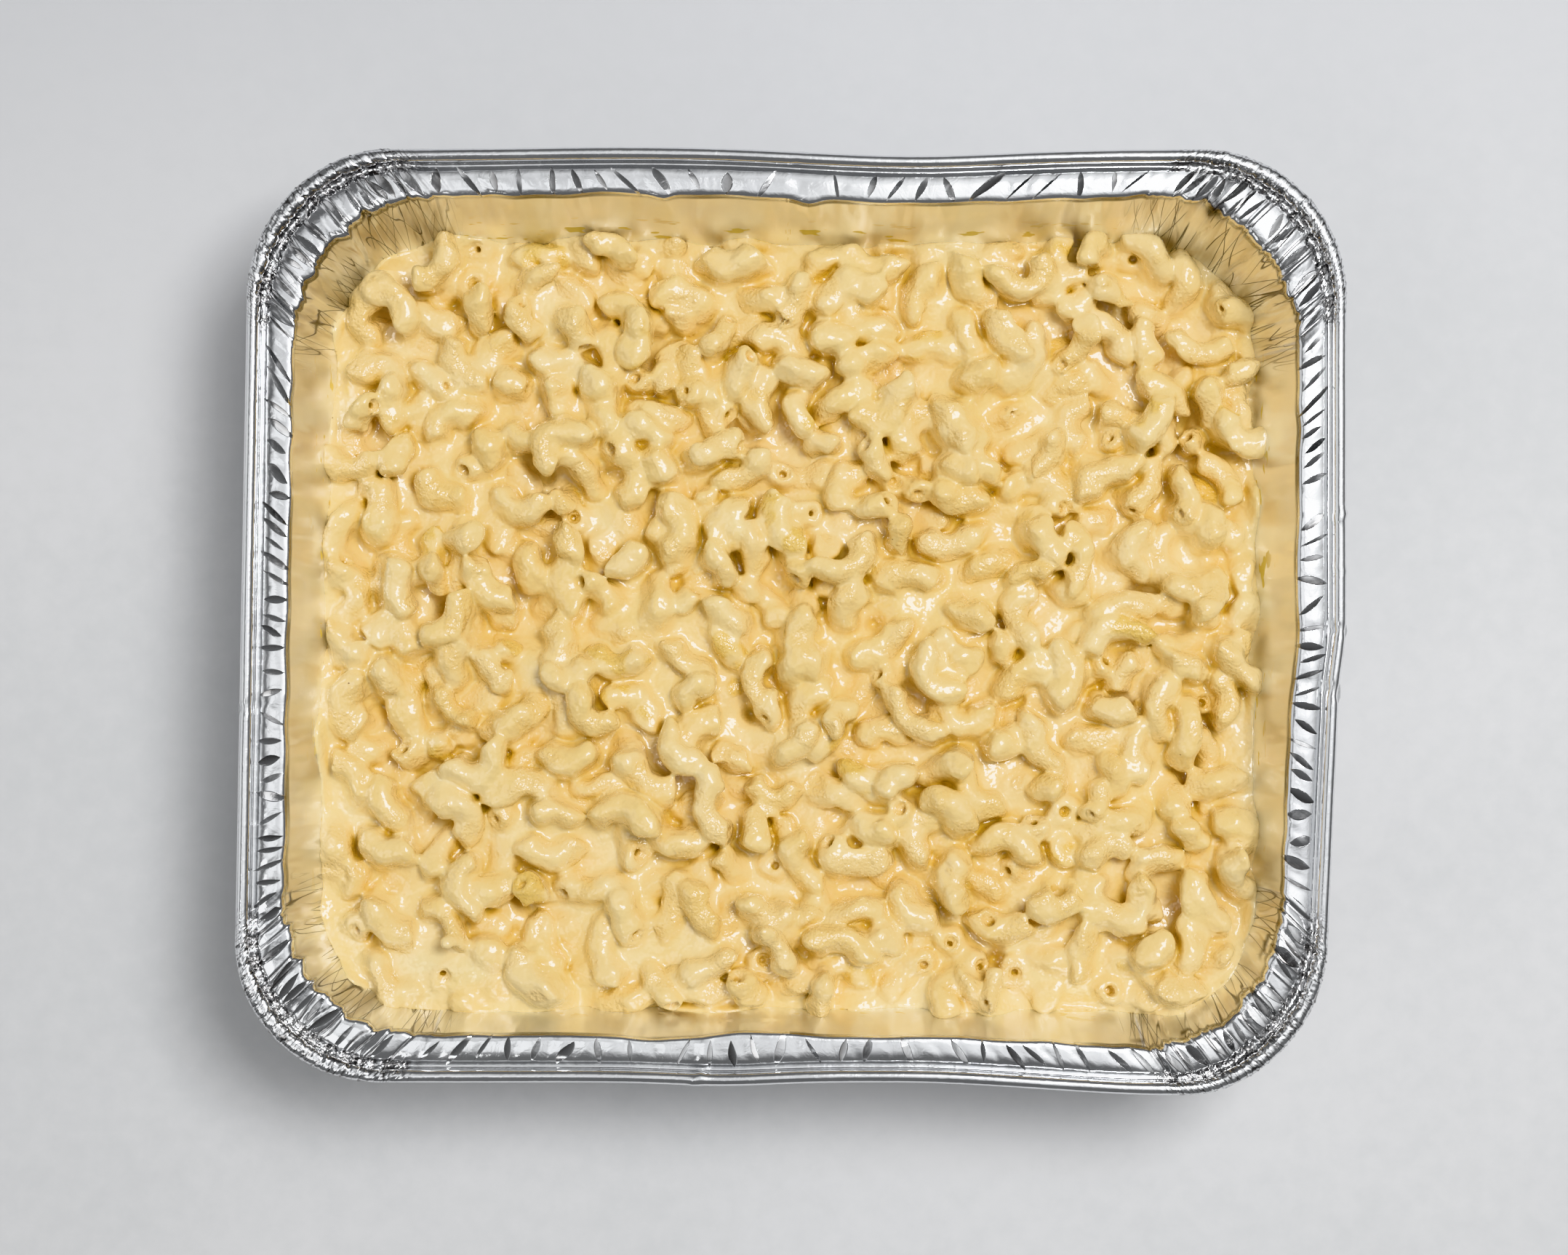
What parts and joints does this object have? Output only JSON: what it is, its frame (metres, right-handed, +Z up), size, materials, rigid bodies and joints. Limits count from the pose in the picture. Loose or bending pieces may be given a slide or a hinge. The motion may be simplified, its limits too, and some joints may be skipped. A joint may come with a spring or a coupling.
{
  "type": "foil tray meal",
  "caption": "Half-size foil steam-table tray with sloping walls, pleated corners and a rolled rim, filled with elbow macaroni in thick cheese sauce.",
  "frame": {"origin": "on the surface the tray stands on, under the middle of the rim", "axes": "+X along the rim's long side, +Y along its short side, +Z up out of the tray"},
  "size_m": [0.319, 0.2722, 0.0648],
  "materials": {
    "foil": "bright",
    "macaroni_cheese": "gloss"
  },
  "bodies": {
    "root": {"foil_tray": "foil", "macaroni_cheese": "macaroni_cheese"}
  },
  "joints": []
}
